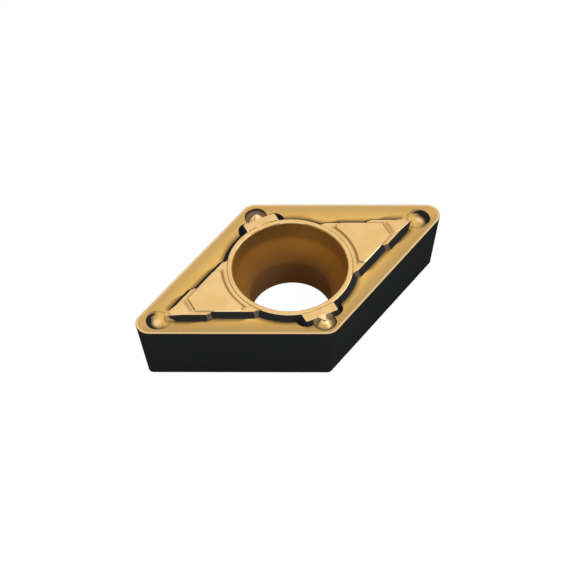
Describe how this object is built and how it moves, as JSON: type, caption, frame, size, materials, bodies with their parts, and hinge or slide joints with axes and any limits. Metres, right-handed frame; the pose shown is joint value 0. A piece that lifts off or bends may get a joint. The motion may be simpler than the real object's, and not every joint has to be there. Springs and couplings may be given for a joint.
{
  "type": "carbide insert",
  "caption": "Rhombic turning insert with relieved flanks, a moulded chip breaker on its rake face and a countersunk hole for a clamping screw.",
  "frame": {"origin": "on the screw hole's axis in the seat plane", "axes": "+X along the long diagonal towards one nose, +Y along the short diagonal, +Z from the seat to the rake face"},
  "size_m": [0.0188, 0.0106, 0.0041],
  "materials": {
    "coated_carbide": "satin gold-coloured coating on top, black flanks"
  },
  "bodies": {
    "root": {"insert_body": "coated_carbide"}
  },
  "joints": []
}
